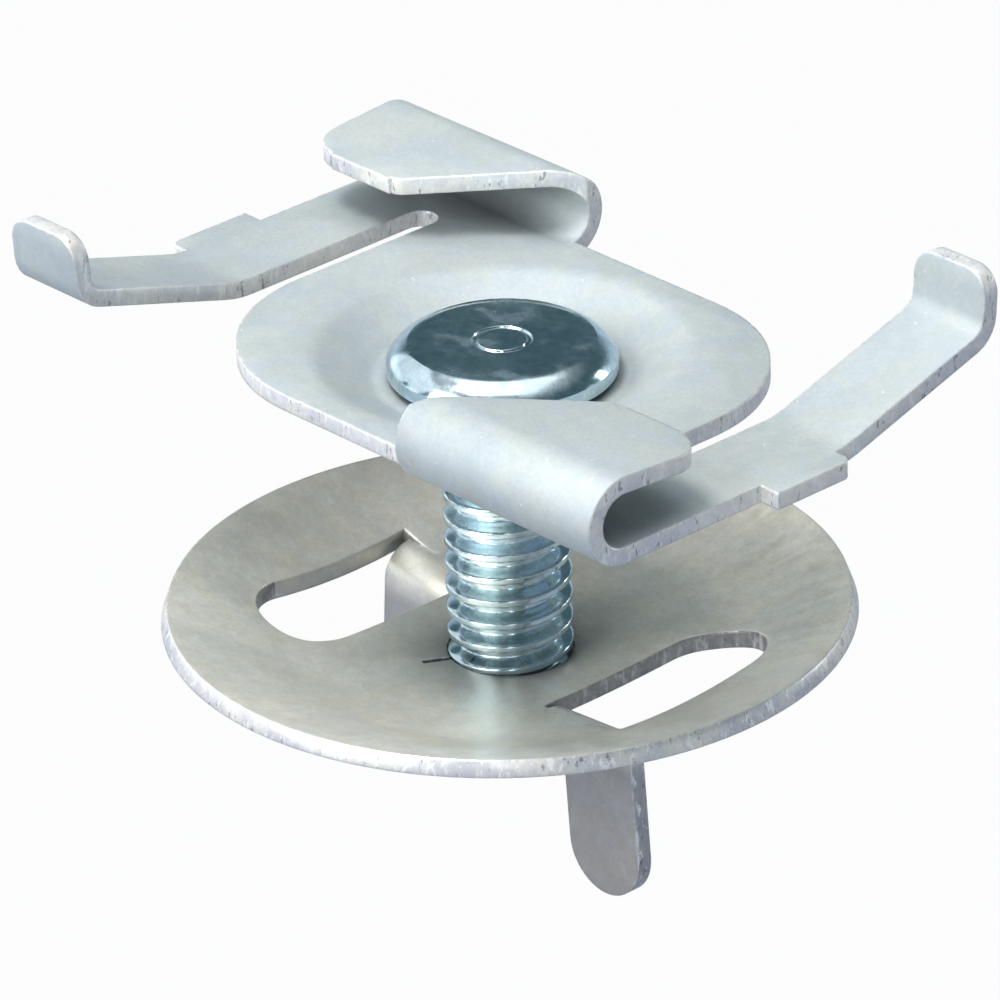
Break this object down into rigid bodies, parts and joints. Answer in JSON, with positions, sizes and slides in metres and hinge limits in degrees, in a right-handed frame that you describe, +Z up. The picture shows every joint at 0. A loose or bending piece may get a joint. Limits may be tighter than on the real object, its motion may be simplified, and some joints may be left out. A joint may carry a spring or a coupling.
{
  "type": "twist clip with wing nut",
  "caption": "Folded steel twist clip for a T-bar ceiling grid, with a headed threaded stud and a dished sheet-metal wing nut that clamps what hangs from it.",
  "frame": {"origin": "centre of the stud head's flat top face, where the ceiling bar's flange bears", "axes": "+Z up along the stud away from the nut, +X along the hooks' fold lines (the bar's run), +Y across the flange"},
  "size_m": [0.042, 0.0348, 0.0317],
  "materials": {
    "clip_zinc": "pale satin zinc plate, mottled, bright along its sheared edges",
    "stud_zinc": "bright zinc plate with a blue cast",
    "nut_zinc": "satin zinc plate, a little warmer and darker than the clip"
  },
  "bodies": {
    "clip": {"twist_clip": "clip_zinc", "stud": "stud_zinc"},
    "nut": {"wing_nut": "nut_zinc"}
  },
  "joints": [
    {"name": "nut_turn", "type": "hinge", "parent": "clip", "child": "nut", "pos_m": [0, 0, -0.0171], "axis": [0, 0, 1], "continuous": true}
  ]
}
